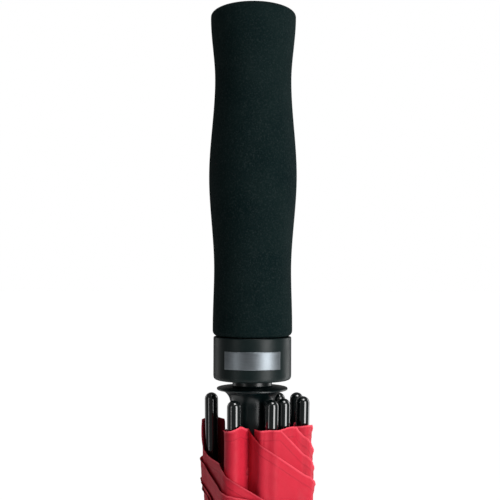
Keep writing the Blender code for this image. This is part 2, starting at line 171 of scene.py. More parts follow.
def rounded(corners, closed=False):
    """A profile through (r, z, fillet) corners. Each fillet is a smooth arc, with a
    point just beyond either end that keeps the flats beside it flat."""
    support = 0.15 * MM
    out = []
    count = len(corners)
    for i, (r, z, fillet) in enumerate(corners):
        here = np.array((r, z))
        if fillet == 0.0 or (not closed and i in (0, count - 1)):
            out.append((r, z))
            continue
        before = np.array(corners[i - 1][:2]) - here
        after = np.array(corners[(i + 1) % count][:2]) - here
        to_a, to_b = unit(before), unit(after)
        a = here + to_a * fillet
        b = here + to_b * fillet
        if np.linalg.norm(before) > fillet + 2.0 * support:
            out.append(tuple(a + to_a * support))
        for t in np.linspace(0.0, 1.0, 6):
            out.append(tuple((1 - t) ** 2 * a + 2 * t * (1 - t) * here + t**2 * b))
        if np.linalg.norm(after) > fillet + 2.0 * support:
            out.append(tuple(b + to_b * support))
    return out


def lathe(name, profile, finish, segments=96, closed=False, sharp_deg=40.0):
    """Turns a (radius, z) profile about Z. It runs down its outer side."""
    angles = np.arange(segments) * (TURN / segments)
    points = []
    rows = []
    for r, z in profile:
        if r < 1e-7:
            rows.append([len(points)] * segments)
            points.append((0.0, 0.0, z))
            continue
        rows.append(list(range(len(points), len(points) + segments)))
        points += [(r * math.cos(a), r * math.sin(a), z) for a in angles]
    if closed:
        rows.append(rows[0])
    faces = []
    for top, low in zip(rows, rows[1:]):
        for j in range(segments):
            k = (j + 1) % segments
            corners = [top[j], low[j], low[k], top[k]]
            face = [c for n, c in enumerate(corners) if c not in corners[:n]]
            if len(face) > 2:
                faces.append(face)
    return mesh_object(name, points, faces, finish, sharp_deg)


def turn_to(obj, origin, z_axis, side=Vector((1.0, 0.0, 0.0))):
    """Puts the object's origin there, with its Z along z_axis and its X nearest side."""
    z = z_axis.normalized()
    x = (side - side.dot(z) * z).normalized()
    turn = Matrix((x, z.cross(x), z)).transposed()
    obj.matrix_world = Matrix.Translation(origin) @ turn.to_4x4()


def smoothstep(share):
    share = np.clip(share, 0.0, 1.0)
    return share * share * (3.0 - 2.0 * share)


def unit(vectors):
    return vectors / np.linalg.norm(vectors, axis=-1, keepdims=True)


def tight_loop(support, angles):
    """The radius at each angle of the loop stretched round a shape. Support holds how
    far the shape reaches in the direction of each angle."""
    lean = np.cos(angles[:, None] - angles[None, :])
    facing = lean > 0.15
    return np.where(facing, support / np.where(facing, lean, 1.0), 1.0).min(axis=1)


# ---- materials


class Paint:
    """A Principled material and the nodes that vary it over the surface."""

    def __init__(self, name, color, roughness, metallic=0.0, **sockets):
        self.material = bpy.data.materials.new(name)
        self.material.use_nodes = True
        self.nodes = self.material.node_tree.nodes
        self.links = self.material.node_tree.links
        self.shader = self.nodes["Principled BSDF"]
        self.set("Base Color", (*color, 1.0))
        self.set("Roughness", roughness)
        self.set("Metallic", metallic)
        for socket, value in sockets.items():
            self.set(socket.replace("_", " "), value)
        self.height = None

    def set(self, socket, value):
        self.shader.inputs[socket].default_value = value

    def node(self, kind, **inputs):
        """A new node with its constant inputs. An underscore stands for a space."""
        node = self.nodes.new(kind)
        for socket, value in inputs.items():
            node.inputs[socket.replace("_", " ")].default_value = value
        return node

    def place(self, scale=(1.0, 1.0, 1.0), source="Object"):
        """Coordinates, in metres times scale."""
        coordinates = self.node("ShaderNodeTexCoord")
        mapping = self.node("ShaderNodeMapping", Scale=scale)
        self.links.new(coordinates.outputs[source], mapping.inputs["Vector"])
        return mapping.outputs["Vector"]

    def noise(self, scale, detail=3.0, rough=0.5, stretch=(1.0, 1.0, 1.0), source="Object"):
        node = self.node("ShaderNodeTexNoise", Scale=scale, Detail=detail, Roughness=rough)
        self.links.new(self.place(stretch, source), node.inputs["Vector"])
        return node.outputs["Fac"]

    def threads(self, direction):
        """The cloth's threads, side by side along the UV's X or Y."""
        node = self.node("ShaderNodeTexWave", Scale=1.0)
        node.bands_direction = direction
        self.links.new(self.place((THREADS, THREADS, 1.0), "UV"), node.inputs["Vector"])
        return node.outputs["Fac"]

    def ramp(self, value, low, high, from_low=0.3, from_high=0.7):
        """The value's stretch between from_low and from_high, mapped onto low to high."""
        node = self.node("ShaderNodeMapRange", From_Min=from_low, From_Max=from_high)
        node.inputs["To Min"].default_value = low
        node.inputs["To Max"].default_value = high
        self.links.new(value, node.inputs["Value"])
        return node.outputs["Result"]

    def maths(self, operation, first, second=0.0):
        node = self.node("ShaderNodeMath")
        node.operation = operation
        for socket, value in zip(node.inputs, (first, second)):
            if isinstance(value, float):
                socket.default_value = value
            else:
                self.links.new(value, socket)
        return node.outputs["Value"]

    def color_between(self, share, first, second):
        """The base colour runs from first, a colour or a socket, to the colour second."""
        node = self.node("ShaderNodeMix")
        node.data_type = "RGBA"
        self.links.new(share, node.inputs["Factor"])
        if isinstance(first, tuple):
            node.inputs["A"].default_value = (*first, 1.0)
        else:
            self.links.new(first, node.inputs["A"])
        node.inputs["B"].default_value = (*second, 1.0)
        self.links.new(node.outputs["Result"], self.shader.inputs["Base Color"])

    def mix_over(self, share, color):
        """Lays a colour over what the base colour has so far."""
        self.color_between(share, self.shader.inputs["Base Color"].links[0].from_socket, color)

    def roughness_from(self, value, low, high):
        self.links.new(self.ramp(value, low, high), self.shader.inputs["Roughness"])

    def bump(self, value, distance, strength=1.0):
        """Adds relief, in metres, to the relief so far."""
        node = self.node("ShaderNodeBump", Distance=distance, Strength=strength)
        self.links.new(value, node.inputs["Height"])
        if self.height is not None:
            self.links.new(self.height, node.inputs["Normal"])
        self.height = node.outputs["Normal"]
        self.links.new(self.height, self.shader.inputs["Normal"])


def foam():
    """Fine closed-cell foam: matt, with pores and a slightly dusty, worn tint."""
    paint = Paint("foam", (0.003, 0.0075, 0.0075), 0.9, Specular_IOR_Level=0.06)
    tint = paint.ramp(paint.noise(60.0, detail=4.0), 0.0, 1.0)
    paint.color_between(tint, (0.0012, 0.0062, 0.0066), (0.0036, 0.0096, 0.0096))
    specks = paint.noise(1500.0, detail=2.0)
    paint.mix_over(paint.ramp(specks, 0.0, 0.6, 0.5, 0.72), (0.014, 0.021, 0.021))
    pores = paint.noise(2600.0, detail=2.0)
    paint.bump(pores, 0.00012, 0.8)
    coarse = paint.noise(700.0, detail=3.0)
    paint.bump(coarse, 0.00022, 0.8)
    paint.roughness_from(coarse, 0.82, 0.96)
    return paint.material


def satin_plastic(name, color, roughness, grain=0.4, specular=0.25):
    """Moulded plastic with a fine spark-eroded grain and soft rub marks."""
    paint = Paint(name, color, roughness, Specular_IOR_Level=specular)
    marks = paint.noise(90.0, detail=5.0, rough=0.6)
    paint.roughness_from(marks, roughness - 0.05, roughness + 0.07)
    paint.bump(paint.noise(5200.0, detail=1.0), 0.00003, grain)
    return paint.material


def gloss_plastic():
    """Polished black plastic with a faint orange-peel ripple."""
    gloss = {"Coat_Weight": 0.8, "Coat_Roughness": 0.05, "Specular_IOR_Level": 0.8}
    paint = Paint("gloss_tips", (0.002, 0.004, 0.004), 0.09, **gloss)
    paint.bump(paint.noise(420.0, detail=2.0), 0.00002, 0.35)
    paint.roughness_from(paint.noise(200.0), 0.05, 0.12)
    return paint.material


def brushed_metal():
    """Aluminium brushed across its height."""
    paint = Paint("label_metal", (0.30, 0.34, 0.37), 0.36, metallic=1.0)
    lines = paint.noise(300.0, detail=4.0, stretch=(1.0, 1.0, 30.0))
    paint.roughness_from(lines, 0.36, 0.50)
    paint.color_between(paint.ramp(lines, 0.0, 1.0), (0.19, 0.215, 0.235), (0.24, 0.265, 0.285))
    paint.bump(lines, 0.00002, 0.3)
    return paint.material


def painted_steel(name, color, roughness=0.32):
    paint = Paint(name, color, roughness, metallic=0.5, Coat_Weight=0.3)
    paint.bump(paint.noise(1500.0, detail=2.0), 0.00003, 0.25)
    marks = paint.noise(40.0, detail=4.0)
    paint.roughness_from(marks, roughness - 0.06, roughness + 0.1)
    return paint.material


def bare_steel():
    paint = Paint("bare_steel", (0.55, 0.55, 0.57), 0.28, metallic=1.0)
    paint.roughness_from(paint.noise(150.0, detail=4.0), 0.2, 0.42)
    return paint.material


def cloth(name, color, shade):
    """Plain-weave polyester, with a painted highlight along the hem's edge. UV holds metres
    along the weft and metres from the hem.
    """
    paint = Paint(name, color, 0.62, Sheen_Weight=0.06, Sheen_Roughness=0.35)
    paint.set("Sheen Tint", (1.0, 0.55, 0.6, 1.0))
    paint.set("Specular IOR Level", 0.25)
    weave = paint.maths("MULTIPLY", paint.threads("X"), paint.threads("Y"))
    paint.bump(weave, 0.00006, 0.35)
    pucker = paint.noise(160.0, detail=3.0, stretch=(1.0, 2.5, 1.0), source="UV")
    paint.bump(pucker, 0.0004, 0.25)
    tint = paint.noise(30.0, detail=4.0, source="UV")
    depth = paint.node("ShaderNodeSeparateXYZ")
    paint.links.new(paint.place(source="UV"), depth.inputs["Vector"])
    # The last millimetre at the hem is painted lighter: a painted highlight on the rolled hem
    edge = paint.ramp(depth.outputs["Y"], 1.0, 0.0, 0.0003, 0.0011)
    stitch = paint.maths("SUBTRACT", depth.outputs["Y"], STITCH_AT)
    stitch = paint.ramp(paint.maths("ABSOLUTE", stitch), 1.0, 0.0, 0.0001, 0.0004)
    paint.color_between(paint.ramp(tint, 0.0, 1.0), shade, color)
    # Lays the painted hem highlight over the cloth's colour
    paint.mix_over(edge, HEM_HIGHLIGHT_COLOR)
    paint.mix_over(paint.maths("MULTIPLY", stitch, 0.22), HEM_STITCH_COLOR)
    paint.bump(paint.maths("SUBTRACT", 1.0, stitch), 0.00015, 0.6)
    paint.roughness_from(pucker, 0.55, 0.7)
    return paint.material


# ---- handle and core


def grip_profile():
    """Superellipse dome, smooth waves between narrow and wide places, rounded foot."""
    top, low = GRIP_HIGH.z, GRIP_LOW.z
    height = top - low
    widest = GRIP_HIGH.x
    shoulder_r = 0.9734 * widest
    shoulder_drop = 5.5 * MM
    power = 2.4
    hole = 6.7 * MM
    points = []
    for angle in np.linspace(0.0, math.pi / 2.0, 26):
        r = hole + (shoulder_r - hole) * math.sin(angle)
        fall = max(0.0, 1.0 - (r / shoulder_r) ** power) ** (1.0 / power)
        points.append((r, top - shoulder_drop * (1.0 - fall)))
    # How far down the grip, and how wide there, as shares of its height and width
    stations = ((0.2265, 0.8717), (0.5174, 1.0), (0.8012, 0.8765), (0.9691, 0.9031))
    last_r, last_z = points[-1]
    for share, width in stations:
        z, r = top - share * height, width * widest
        for step in np.linspace(0.0, 1.0, 19)[1:]:
            wave = last_r + (r - last_r) * smoothstep(step)
            points.append((float(wave), last_z + (z - last_z) * step))
        last_r, last_z = r, z
    foot = 2.4 * MM
    points += arc(last_r - foot, low + foot, foot, 0.0, -90.0, 9)
    inner = 13.8 * MM
    points += [(inner, low), (inner, top - 12.0 * MM), (hole, top - 5.0 * MM)]
    return points


def build_grip(finish):
    grip = lathe("foam_grip", grip_profile(), finish, segments=128, closed=True, sharp_deg=50.0)
    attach(grip, "shaft")
    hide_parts("grip_foam")


def build_collar(finish):
    """The collar, and the part of the core just above it inside the foam."""
    low, top = CORE_LOW.z - 0.5 * MM, GRIP_LOW.z - 0.3 * MM
    radius = CORE_HIGH.x
    inside_foam = 13.5 * MM
    bore = 9.9 * MM
    corners = [
        (inside_foam, top + 30.0 * MM, 0.0),
        (inside_foam, top, 0.0),
        (radius, top, 0.7 * MM),
        (radius, low, 2.0 * MM),
        (bore, low, 0.3 * MM),
        (bore, top - 5.0 * MM, 0.0),
    ]
    collar = lathe("handle_collar", rounded(corners), finish, segments=160, sharp_deg=50.0)
    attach(collar, "shaft")
    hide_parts("handle_core")


def edged(first, last, count, edge):
    """Even stations, with three more just inside either end."""
    inside = [edge * share for share in (0.15, 0.5, 1.0)]
    even = np.linspace(first, last, count)
    return sorted([*even, *(first + t for t in inside), *(last - t for t in inside)])


def build_label(finish):
    """A curved plate on the collar's front, with its edges rounded over by lip."""
    outer, lip = 18.45 * MM, 0.35 * MM
    low, high = LABEL_LOW.z, LABEL_HIGH.z
    start, end = math.radians(226.0), math.radians(314.0)
    cols = edged(start, end, 49, lip / outer)
    heights = edged(low, high, 2, lip)
    points = []
    for z in heights:
        for a in cols:
            inset = min(z - low, high - z, (a - start) * outer, (end - a) * outer)
            fall = 1.0 - math.sqrt(max(0.0, 1.0 - (1.0 - min(1.0, inset / lip)) ** 2))
            r = outer - fall * lip
            points.append((r * math.cos(a), r * math.sin(a), z))
    faces = grid_faces(len(heights), len(cols))
    plate = mesh_object("label_plate_cover", points, faces, finish, sharp_deg=60.0)
    plate.data.flip_normals()
    solid = plate.modifiers.new("Solidify", "SOLIDIFY")
    solid.thickness = 0.5 * MM
    solid.offset = -1.0
    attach(plate, "shaft")
    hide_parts("label_plate")


def build_runner(finish):
    """Sliding runner: a neck that goes up into the collar, a thin trumpet, a long body."""
    flange_z = 827.0 * MM
    edge = 0.5 * MM
    rim = 16.6 * MM - edge
    flare = 6.4 * MM
    body, neck, groove, foot, bore = np.array((10.25, 9.25, 8.9, 9.2, 7.3)) * MM
    top, low = RUNNER_HIGH.z, RUNNER_LOW.z
    corners = [
        (bore, top, 0.0),
        (neck, top, 0.6 * MM),
        (neck, flange_z + 1.3 * MM, 0.8 * MM),
        (rim, flange_z + edge, 0.0),
    ]
    profile = rounded(corners) + arc(rim, flange_z, edge, 90.0, -90.0, 9)[1:]
    for angle in np.linspace(0.0, math.pi / 2.0, 15)[1:]:
        r = body + (rim - body) * (1.0 - math.sin(angle))
        profile.append((r, flange_z - edge - flare * (1.0 - math.cos(angle))))
    profile += rounded(
        [
            (body, flange_z - 8.0 * MM, 0.0),
            (body, low + 16.0 * MM, 0.5 * MM),
            (groove, low + 14.0 * MM, 0.5 * MM),
            (groove, low + 4.0 * MM, 0.3 * MM),
            (foot, low + 3.0 * MM, 0.3 * MM),
            (foot, low, 0.4 * MM),
            (bore, low, 0.0),
        ]
    )
    runner = lathe("sliding_runner", profile, finish, segments=128, closed=True, sharp_deg=50.0)
    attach(runner, "runner")
    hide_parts("runner")


def rib_line(index):
    """The rib's pivot and a point further up it: its flex joint."""
    pivot = Vector(JOINTS[f"rib_{index + 1}_pivot"]["pos_m"])
    joint = Vector(JOINTS[f"rib_{index + 1}_flex"]["pos_m"])
    return pivot, joint


def build_tip(index, finish):
    """A long domed cap, bored from its lower end."""
    pivot, joint = rib_line(index)
    top = TIP_TOP_Z - TIP_R
    along = (joint - pivot) / (joint.z - pivot.z)
    centre = pivot + along * (top - pivot.z)
    low, bore, bore_top = TIP_R - TIP_LENGTH, 1.9 * MM, TIP_R - TIP_LENGTH + 20.0 * MM
    profile = arc(0.0, 0.0, TIP_R, 90.0, 0.0, 15)
    profile += [(TIP_R, -0.4 * MM), (TIP_R, low + 1.2 * MM)]
    profile += rounded([(TIP_R, low + 1.0 * MM, 0.0), (TIP_R, low, 0.4 * MM), (bore, low, 0.0)])
    profile += [(bore, bore_top), (0.0, bore_top)]
    cap = lathe(f"tip_cap_{index + 1}", profile, finish, segments=48, sharp_deg=50.0)
    turn_to(cap, centre, joint - pivot)
    body = f"rib_outer_{index + 1}"
    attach(cap, body)
    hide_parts(f"rib_tip_{index + 1}")


def build_end_plug(finish):
    """The round plug in the top of the grip, dished in its middle."""
    radius, low = PLUG_HIGH.x, PLUG_LOW.z
    top = PLUG_HIGH.z - 0.1 * MM
    dish = PLUG_HIGH.z - 0.9 * MM
    profile = [(0.0, dish)]
    profile += rounded(
        [
            (3.6 * MM, dish, 0.0),
            (4.4 * MM, top, 0.4 * MM),
            (radius - 0.9 * MM, top, 0.3 * MM),
            (radius, PLUG_HIGH.z - 1.3 * MM, 0.4 * MM),
            (radius, low, 0.0),
        ]
    )
    profile.append((0.0, low))
    plug = lathe("end_plug_cover", profile, finish)
    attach(plug, "shaft")
    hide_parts("end_plug")


def build_button(finish):
    """The round release button in the back of the collar, with a dished face."""
    radius = (BUTTON_HIGH.x - BUTTON_LOW.x) / 2.0
    length = BUTTON_HIGH.y - BUTTON_LOW.y
    profile = [(0.0, length - 0.7 * MM), (1.2 * MM, length - 0.65 * MM)]
    profile += [(2.2 * MM, length - 0.45 * MM), (3.0 * MM, length - 0.15 * MM)]
    profile += rounded(
        [
            (3.3 * MM, length, 0.0),
            (radius - 0.1 * MM, length, 0.7 * MM),
            (radius, length - 2.0 * MM, 0.3 * MM),
            (radius, 0.0, 0.3 * MM),
            (0.0, 0.0, 0.0),
        ]
    )
    button = lathe("release_button", profile, finish)
    turn_to(button, Vector((0.0, BUTTON_LOW.y, BUTTON_Z)), BACK)
    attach(button, "push_button")
    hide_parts("push_button")


def build_button_ring(finish):
    """The raised lip round the button's pocket in the collar's back."""
    outer, inner = 6.6 * MM, 5.15 * MM
    high, low = 0.55 * MM, -1.2 * MM
    corners = [
        (inner, low, 0.0),
        (inner, high, 0.2 * MM),
        (outer - 0.3 * MM, high, 0.4 * MM),
        (outer, low, 0.0),
    ]
    ring = lathe("button_surround", rounded(corners), finish)
    for vertex in ring.data.vertices:
        vertex.co.z += math.sqrt(CORE_HIGH.x**2 - vertex.co.x**2) - CORE_HIGH.x
    turn_to(ring, Vector((0.0, CORE_HIGH.x, BUTTON_Z)), BACK)
    ring.data.flip_normals()
    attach(ring, "shaft")


def build_ferrule(finish):
    """The long tip: a ribbed taper with a round nose and a flange under the crown."""
    top, flange = FERRULE_HIGH.z, FERRULE_HIGH.x
    nose, ridge = 1.6 * MM, 0.35 * MM
    profile = [(0.0, 0.0)] + arc(2.6 * MM, nose, nose, -90.0, 0.0, 9)[1:]
    profile.append((4.35 * MM, 5.0 * MM))
    for groove in range(4):
        z = (8.0 + 2.6 * groove) * MM
        r = 4.5 * MM + 0.04 * groove * MM
        profile += [(r, z), (r + ridge, z + ridge)]
        profile += [(r + ridge, z + 1.35 * MM), (r, z + 1.7 * MM)]
    peg, flange_top = 5.4 * MM, 55.7 * MM
    low = flange_top - 2.4 * MM
    profile += [(5.1 * MM, 20.0 * MM), (5.9 * MM, 30.0 * MM), (6.3 * MM, 42.0 * MM)]
    profile += rounded(
        [
            (6.5 * MM, 48.0 * MM, 0.0),
            (6.6 * MM, low, 0.6 * MM),
            (flange, low, 0.5 * MM),
            (flange, flange_top, 0.5 * MM),
            (peg, flange_top, 0.0),
            (peg, top, 0.0),
        ]
    )
    profile.append((0.0, top))
    ferrule = lathe("ferrule_tip", profile[::-1], finish)
    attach(ferrule, "shaft")
    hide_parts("ferrule")


def build_top_cap(finish):
    """The cap over the place where the cloth gathers on the crown."""
    foot, rim = 56.3 * MM, CANOPY_LOW_Z - 0.6 * MM
    corners = [
        (7.25 * MM, foot, 0.0),
        (8.6 * MM, foot, 0.5 * MM),
        (9.3 * MM, foot + 4.0 * MM, 2.0 * MM),
        (12.6 * MM, foot + 13.0 * MM, 5.0 * MM),
        (17.4 * MM, rim - 3.4 * MM, 2.0 * MM),
        (18.0 * MM, rim, 0.5 * MM),
        (16.9 * MM, rim, 0.3 * MM),
        (16.2 * MM, rim - 2.6 * MM, 1.0 * MM),
        (11.4 * MM, foot + 14.0 * MM, 3.0 * MM),
        (7.25 * MM, foot + 6.0 * MM, 0.5 * MM),
    ]
    profile = rounded(corners, closed=True)[::-1]
    cap = lathe("top_cap", profile, finish, segments=128, closed=True)
    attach(cap, "shaft")


def build_shaft(finish):
    """The tube, with its edges softened."""
    radius, bore, chamfer = SHAFT_HIGH.x, 5.6 * MM, 0.3 * MM
    corners = [
        (bore, SHAFT_HIGH.z, chamfer),
        (radius, SHAFT_HIGH.z, chamfer),
        (radius, SHAFT_LOW.z, chamfer),
        (bore, SHAFT_LOW.z, chamfer),
    ]
    tube = lathe("shaft_tube_cover", rounded(corners, closed=True), finish, closed=True)
    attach(tube, "shaft")
    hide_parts("shaft_tube")


def finish_nodes(finish, *names):
    """A CAD node whose shape is right takes a better finish."""
    for name in names:
        for slot in frame["nodes"][name].material_slots:
            slot.material = finish


# ---- closed canopy

# The cut of a gore, and the length of its rib
HALF_WIDTH = 255.0 * MM
RIB_LENGTH = 732.0 * MM
# How far to one side the wrap's axis is at the hem, and where the tip caps begin
AXIS_LEAN = np.array((2.0, 1.0)) * MM
SLEEVE_LOW_Z = 777.0 * MM
# What the first layer over a flap adds, and after how many ribs the adding fades
LAYER_STEP = 1.0 * MM
LAYER_REACH = 5.0
# How steeply the cloth drops into the dip after a rib
DIP_SLOPE = 7.0
# How gently the cloth climbs out of the dip before each rib's loop, at the hem and below it
RISE_HEM = np.array((4.0, 0.75, 4.0, 4.0, 4.0, 4.0, 4.0, 4.0))
RISE_LOW = np.array((4.0, 0.62, 4.0, 4.0, 4.0, 4.0, 4.0, 4.0))
# How far before its rib each flap's slack loop lies, and how far its hem stays level
LOOP_SHIFT = np.array((1.0, 4.0, 3.0, 3.0, 3.0, 3.0, 3.0, 2.0)) * MM
LEVEL_HEM = np.array((22.0, 13.5, 11.5, 12.0, 12.0, 12.0, 12.0, 12.0)) * MM
# The hem's quick fall after its level start, the run that takes, and where its long
# even slope begins
HEM_FALL = np.array((0.0, 0.5, 0.5, 3.0, 5.0, 5.0, 12.0, 15.5)) * MM
FALL_RUN = np.array((6.0, 6.0, 6.0, 6.0, 10.0, 10.0, 6.0, 2.5)) * MM
SLOPE_FROM = np.array((25.5, 13.5, 11.5, 12.0, 12.0, 12.0, 14.0, 42.0)) * MM
HEM_SLOPE = np.array((0.72, 0.90, 0.95, 0.70, 0.55, 0.55, 0.30, 0.66))
# Each hem stands up a little where it folds back on itself: how far along, and height
PEAK_AT = np.array((18.0, 9.0, 8.0, 8.0, 8.0, 8.0, 8.0, 5.0)) * MM
PEAK_HEIGHT = np.array((1.9, 0.3, 0.8, 0.6, 0.6, 0.6, 0.6, 1.2)) * MM
# When each flap is pulled tight, in ribs passed: where it begins, and over how many
TIGHT_FROM = np.array((0.85, 0.1, 0.1, 0.1, 0.1, 0.1, 0.1, -0.1))
TIGHT_OVER = np.array((0.9, 0.9, 0.9, 0.9, 0.9, 0.9, 0.9, 0.4))
# The small upright folds below each tip: half their height, their spacing, and how soon
# they die out along the hem and down the cloth
PUCKER_HEIGHT = 0.75 * MM
PUCKER_STEP = 7.0 * MM
PUCKER_RUN = 13.0 * MM
PUCKER_DEPTH = 26.0 * MM
# How much the strap draws the cloth in, at what height, and how far either way
BELT_SHARE = 0.10
BELT_Z = STRAP_LOW.z + 10.0 * MM
BELT_REACH = 22.0 * MM
# The strap: where it starts, its lap, its rows, and the column that its snap sits on
STRAP_START = math.radians(-112.0)
STRAP_LAP = math.radians(42.0)
STRAP_ROWS = np.array((0.0, 0.03, 0.08, 0.13, 0.35, 0.65, 0.87, 0.92, 0.97, 1.0))
SNAP_COLUMN = -14
# How finely the bundle is sampled round its axis, and each flap along its cloth
ANGLES = 720
CLOTH_STEP = 1.0 * MM
PATH_RUN = np.arange(int(HALF_WIDTH / CLOTH_STEP) + 60) * CLOTH_STEP


def rib_at(index, z):
    """The points of a rib's axis at the heights z, none of them below its pivot."""
    pivot, joint = rib_line(index)
    share = np.clip((z - pivot.z) / (joint.z - pivot.z), 0.0, None)[:, None]
    return np.array(pivot) + share * (np.array(joint) - np.array(pivot))


def axis_at(z):
    """The point that the wrap is measured round."""
    share = np.clip((z - PIVOT_Z) / (HEM_Z - PIVOT_Z), 0.0, 1.2)
    return share[..., None] * AXIS_LEAN


class Bundle:
    """The ribs' bundle as the cloth feels it. At each height and angle it has a near
    surface, which dips between the ribs, and a far one, stretched tight round them."""

    def __init__(self):
        self.z = np.linspace(CANOPY_LOW_Z - 4.0 * MM, HEM_Z + 2.0 * MM, 160)
        self.angles = np.arange(ANGLES) * (TURN / ANGLES)
        ribs = [rib_at(index, self.z)[:, :2] for index in range(RIBS)]
        centres = np.stack(ribs, axis=1) - axis_at(self.z)[:, None, :]
        reach = np.linalg.norm(centres, axis=2)
        bearing = np.arctan2(centres[..., 1], centres[..., 0])
        sleeve = smoothstep((self.z - SLEEVE_LOW_Z) / (4.0 * MM))
        radius = (2.0 + 1.55 * sleeve) * MM
        grown = smoothstep((self.z - PIVOT_Z) / 0.3)
        loop_r = (1.6 + 1.2 * grown) * MM
        shift = LOOP_SHIFT[None, :] * grown[:, None]
        self.start = np.unwrap(bearing - (shift + loop_r[:, None] + 1.2 * MM) / reach, axis=0)
        below = smoothstep((HEM_Z - self.z) / (30.0 * MM))[:, None]
        near = []
        for index in range(RIBS):
            for rad, turn in ((radius, 0.0), (loop_r, shift[:, index])):
                angle = bearing[:, index] - turn / reach[:, index]
                off = self.angles[None, :] - angle[:, None]
                off = (off + math.pi) % TURN - math.pi
                rho = reach[:, index][:, None]
                side = np.abs(rho * np.sin(off))
                size = rad[:, None]
                bulge = np.sqrt(np.clip(size**2 - side**2, 0.0, None))
                rise = RISE_HEM[index] + (RISE_LOW[index] - RISE_HEM[index]) * below
                slope = np.where(off < 0.0, rise, DIP_SLOPE)
                r = rho * np.cos(off) + bulge - slope * np.clip(side - size, 0.0, None)
                r = np.where(np.abs(off) < 1.4, r, 0.0)
                near.append(r)
        core = np.where(self.z > RUNNER_LOW.z, 10.8 * MM, 9.6 * MM)
        near.append(np.repeat(core[:, None], ANGLES, axis=1))
        near = np.array(near)
        soft = 0.25 * MM
        highest = near.max(axis=0)
        self.near = highest + soft * np.log(np.exp((near - highest) / soft).sum(axis=0))
        ways = np.stack((np.cos(self.angles), np.sin(self.angles)))
        support = (centres @ ways + radius[:, None, None]).max(axis=1)
        far = np.array([tight_loop(row, self.angles) for row in support])
        self.far = np.maximum(far, self.near + 0.05 * MM)

    def look(self, field, z, angle):
        """The near or the far surface, read between its points."""
        row = np.clip((z - self.z[0]) / (self.z[1] - self.z[0]), 0.0, len(self.z) - 1.001)
        col = (angle / TURN * ANGLES) % ANGLES
        i = row.astype(int)
        j = col.astype(int) % ANGLES
        k = (j + 1) % ANGLES
        u, v = row - i, col - np.floor(col)
        top = field[i, j] * (1 - v) + field[i, k] * v
        low = field[i + 1, j] * (1 - v) + field[i + 1, k] * v
        return top * (1 - u) + low * u

    def radius(self, z, angle, elapsed, tight):
        """Where the cloth lies that has passed this many ribs since its own. Tight is
        0 where it lies in the dips and 1 where it is stretched over them."""
        near = self.look(self.near, z, angle)
        far = self.look(self.far, z, angle)
        layers = LAYER_STEP * LAYER_REACH * (1.0 - np.exp(-elapsed / LAYER_REACH))
        belt = 1.0 - BELT_SHARE * np.exp(-(((z - BELT_Z) / BELT_REACH) ** 2))
        return (near + (far - near) * tight) * belt + layers + wrinkle(z, angle)


def wrinkle(z, angle):
    """Soft slanting folds that all the layers share."""
    deep = smoothstep((HEM_Z - z) / 0.05)
    slant = np.sin(3.0 * angle - 55.0 * z + 0.7) * 0.5
    slant += np.sin(5.0 * angle - 90.0 * z + 2.1) * 0.3
    slant += np.sin(7.0 * angle + 40.0 * z + 4.0) * 0.2
    return 0.7 * MM * deep * slant


def tightness(index, elapsed):
    """How tight a flap is, this many ribs past its own."""
    return 0.94 * smoothstep((elapsed - TIGHT_FROM[index]) / TIGHT_OVER[index])


def pucker(run, depth):
    """Small upright folds where the cloth is gathered on to its tip."""
    fade = np.exp(-run / PUCKER_RUN - depth / PUCKER_DEPTH)
    return PUCKER_HEIGHT * (1.0 - np.cos(run * (TURN / PUCKER_STEP))) * fade


def half_width(length):
    """Half a gore's width at a distance from the crown."""
    share = np.clip(length / RIB_LENGTH, 0.0, 1.0)
    lean = np.radians(84.0 - 30.0 * share**2)
    reach = 11.0 * MM + length * np.sin((np.radians(84.0) + lean) / 2.0)
    scale = HALF_WIDTH / (11.0 * MM + RIB_LENGTH * math.sin(math.radians(69.0)))
    return reach * scale


def hem_drop(distance, index):
    """How far the hem has fallen below its rib's tip."""
    run = np.clip(distance - SLOPE_FROM[index], 0.0, HALF_WIDTH)
    slope = HEM_SLOPE[index] * run * (1.0 - run / (2.0 * HALF_WIDTH))
    past = np.clip(distance - LEVEL_HEM[index], 0.0, HALF_WIDTH)
    fall = HEM_FALL[index] * (1.0 - np.exp(-past / FALL_RUN[index]))
    peak = PEAK_HEIGHT[index] * np.exp(-(((distance - PEAK_AT[index]) / (4.0 * MM)) ** 2))
    return slope + fall - peak


def row_heights():
    """Rows of the cloth: close together at the hem, wider apart towards the crown."""
    steps = [0.0, 0.5, 1.0, 2.0, 3.0, 4.0, 4.6, 5.2]
    low = (HEM_Z - CANOPY_LOW_Z) / MM
    for until, step in ((84.0, 1.7), (200.0, 5.0), (low - 12.0, 11.0)):
        while steps[-1] < until:
            steps.append(steps[-1] + step)
    steps.append(low)
    return HEM_Z - np.array(steps) * MM


def column_shares():
    """Columns of one layer: 1 mm apart at its rib and at its fold."""
    steps = list(np.arange(0.0, 36.0, 1.0))
    while steps[-1] < 240.0:
        steps.append(steps[-1] + 4.5)
    steps += [steps[-1] + t for t in (2.0, 4.0, 5.5, 6.5, 7.2)]
    steps = np.array(steps)
    return steps / steps[-1]


def trace_path(bundle, rows, index):
    """The angle that the flap's cloth has reached after each CLOTH_STEP of itself."""
    own = np.interp(rows, bundle.z, bundle.start[:, index])
    slope = (rows - CANOPY_LOW_Z) / (rows[0] - CANOPY_LOW_Z)
    angle = np.zeros((len(rows), len(PATH_RUN)))
    angle[:, 0] = own
    nudge = 0.02
    for i, run in enumerate(PATH_RUN[:-1]):
        z = rows - hem_drop(run, index) * slope
        here = angle[:, i]
        passed = (here - own) / PITCH
        tight = tightness(index, passed)
        r = bundle.radius(z, here, passed, tight)
        rate = (bundle.radius(z, here + nudge, passed + nudge / PITCH, tight) - r) / nudge
        angle[:, i + 1] = here + CLOTH_STEP / np.sqrt(r**2 + rate**2)
    return angle


